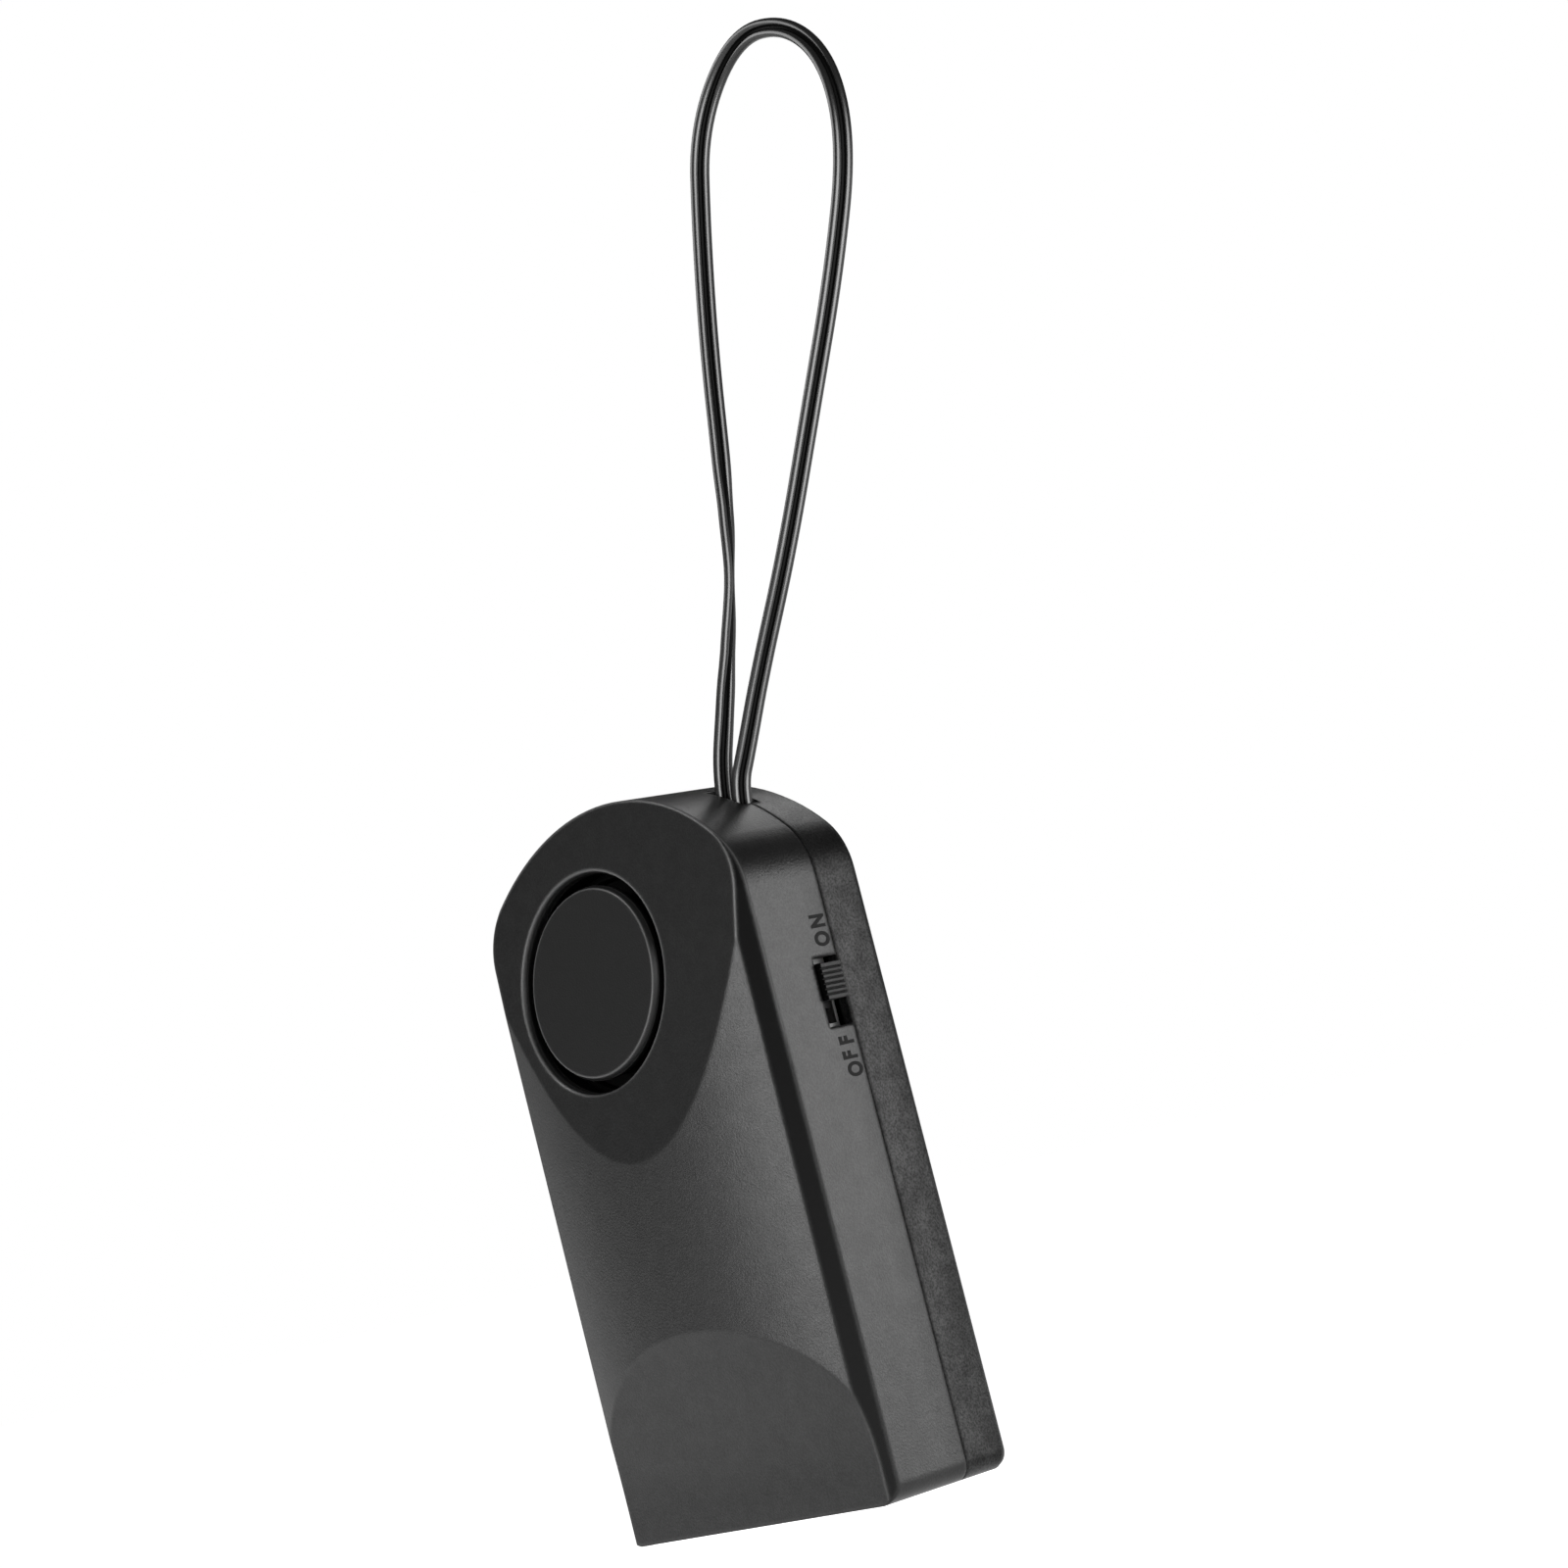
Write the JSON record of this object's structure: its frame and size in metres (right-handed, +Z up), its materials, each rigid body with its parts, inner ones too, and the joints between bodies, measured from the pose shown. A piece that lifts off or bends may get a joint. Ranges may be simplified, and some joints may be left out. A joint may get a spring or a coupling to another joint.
{
  "type": "door knob alarm",
  "caption": "Small battery powered alarm in a two-shell case with a round siren, a slide switch and a loop of sensor cord that hangs it from a door knob",
  "frame": {"origin": "inside of the crown of the cord's loop, where a door knob carries it", "axes": "+Z up along the case, -Y out of the front with the siren, +X towards the side with the switch"},
  "size_m": [0.0825, 0.0274, 0.1829],
  "materials": {
    "case_plastic": "satin",
    "siren_plastic": "fine texture",
    "sounder_brass": "rolled",
    "ceramic": "silvered ceramic",
    "plated_steel": "plated",
    "switch_plastic": "phenolic",
    "knob_plastic": "moulded",
    "board_laminate": "solder mask",
    "chip_resin": "moulded",
    "ferrite": "sintered",
    "copper_winding": "enamelled wire",
    "capacitor_sleeve": "shrink sleeve",
    "resistor_body": "lacquered",
    "capacitor_disc": "dipped",
    "battery_jacket": "printed steel",
    "snap_plastic": "moulded",
    "foam": "open cell foam",
    "cord_jacket": "glossy vinyl",
    "clamp_plastic": "moulded",
    "lead_red": "vinyl",
    "lead_black": "vinyl",
    "black_steel": "black oxide"
  },
  "bodies": {
    "case": {"front_shell": "case_plastic", "rear_shell": "case_plastic", "siren_cap": "siren_plastic", "siren_cup": "siren_plastic", "sounder_plate": "sounder_brass", "sounder_ceramic": "ceramic", "switch_frame": "plated_steel", "switch_base": "switch_plastic", "switch_terminals": "plated_steel", "circuit_board": "board_laminate", "control_chip": "chip_resin", "chip_legs": "plated_steel", "coil_core": "ferrite", "coil_winding": "copper_winding", "electrolytic_capacitor": "capacitor_sleeve", "transistors": "chip_resin", "resistors": "resistor_body", "ceramic_capacitors": "capacitor_disc", "battery_case": "battery_jacket", "battery_terminals": "plated_steel", "snap_connector": "snap_plastic", "battery_pad": "foam", "sensor_cord": "cord_jacket", "cord_clamp": "clamp_plastic", "sensor_leads": "lead_black", "snap_lead_red": "lead_red", "snap_lead_black": "lead_black", "sounder_lead_red": "lead_red", "sounder_lead_black": "lead_black", "housing_screws": "black_steel", "board_screws": "plated_steel"},
    "door": {"battery_door": "case_plastic"},
    "knob": {"switch_knob": "knob_plastic"}
  },
  "joints": [
    {"name": "battery_door_slide", "type": "slide", "parent": "case", "child": "door", "axis": [0, 0, -1], "range_m": [0, 0.06]},
    {"name": "switch_slide", "type": "slide", "parent": "case", "child": "knob", "axis": [0, 0, -1], "range_m": [0, 0.0025]}
  ]
}
